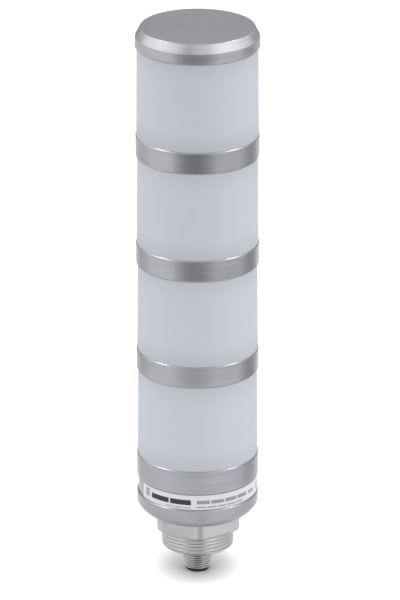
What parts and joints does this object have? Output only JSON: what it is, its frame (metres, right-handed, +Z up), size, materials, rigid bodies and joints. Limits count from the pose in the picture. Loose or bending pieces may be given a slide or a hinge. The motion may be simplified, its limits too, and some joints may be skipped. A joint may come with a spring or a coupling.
{
  "type": "stack light",
  "caption": "Slim round signal tower: opal light segments parted by brushed metal rings, a flat chamfered cap, and below it a hexagon collar, threaded stud and round plug connector.",
  "frame": {"origin": "centre of the hexagon collar's underside, on the column's axis, where the light seats on a panel", "axes": "+Z up the column towards the cap, -Y towards the front where the label shows, +X to the right"},
  "size_m": [0.05, 0.05, 0.2369],
  "materials": {
    "satin_aluminium": "clear anodised, finely brushed round the axis",
    "opal_plastic": "opal translucent moulding, satin",
    "stud_steel": "turned and milled stainless steel, satin",
    "connector_metal": "bright nickel plate on turned brass",
    "black_plastic": "moulded, fine matte",
    "contact_gold": "gold plated",
    "label_film": null,
    "seal_silicone": "soft grey silicone",
    "barrier_plastic": "white moulded",
    "core_aluminium": "extruded, mill finish",
    "led_board_white": "white solder mask",
    "led_phosphor": "clear window in a white package",
    "board_green": "green solder mask",
    "chip_black": "moulded package",
    "capacitor_can": "drawn can",
    "lead_insulation": "extruded insulation",
    "zinc_steel": "zinc plated",
    "spacer_brass": "nickel plated"
  },
  "bodies": {
    "root": {"top_cap": "satin_aluminium", "divider_ring_1": "satin_aluminium", "divider_ring_2": "satin_aluminium", "divider_ring_3": "satin_aluminium", "base_housing": "satin_aluminium", "lens_1": "opal_plastic", "lens_2": "opal_plastic", "lens_3": "opal_plastic", "lens_4": "opal_plastic", "mounting_stud": "stud_steel", "connector_shell": "connector_metal", "connector_nut": "connector_metal", "connector_insert": "black_plastic", "contact_pins": "contact_gold", "label": "label_film", "stud_gasket": "seal_silicone", "connector_gasket": "seal_silicone", "lens_seal_1_top": "seal_silicone", "lens_seal_1_bottom": "seal_silicone", "lens_seal_2_top": "seal_silicone", "lens_seal_2_bottom": "seal_silicone", "lens_seal_3_top": "seal_silicone", "lens_seal_3_bottom": "seal_silicone", "lens_seal_4_top": "seal_silicone", "lens_seal_4_bottom": "seal_silicone", "light_barrier_1": "barrier_plastic", "light_barrier_2": "barrier_plastic", "light_barrier_3": "barrier_plastic", "core_column": "core_aluminium", "core_plate": "core_aluminium", "led_board_1": "led_board_white", "led_board_2": "led_board_white", "led_board_3": "led_board_white", "led_board_4": "led_board_white", "leds_1": "led_phosphor", "leds_2": "led_phosphor", "leds_3": "led_phosphor", "leds_4": "led_phosphor", "control_board": "board_green", "processor_chip": "chip_black", "driver_chips": "chip_black", "filter_capacitor": "capacitor_can", "connector_leads": "lead_insulation", "strip_leads": "lead_insulation", "stud_nut": "zinc_steel", "carrier_screws": "zinc_steel", "tie_rod": "zinc_steel", "tie_nut": "zinc_steel", "tie_washer": "zinc_steel", "lower_spacers": "spacer_brass", "upper_spacers": "spacer_brass"}
  },
  "joints": []
}
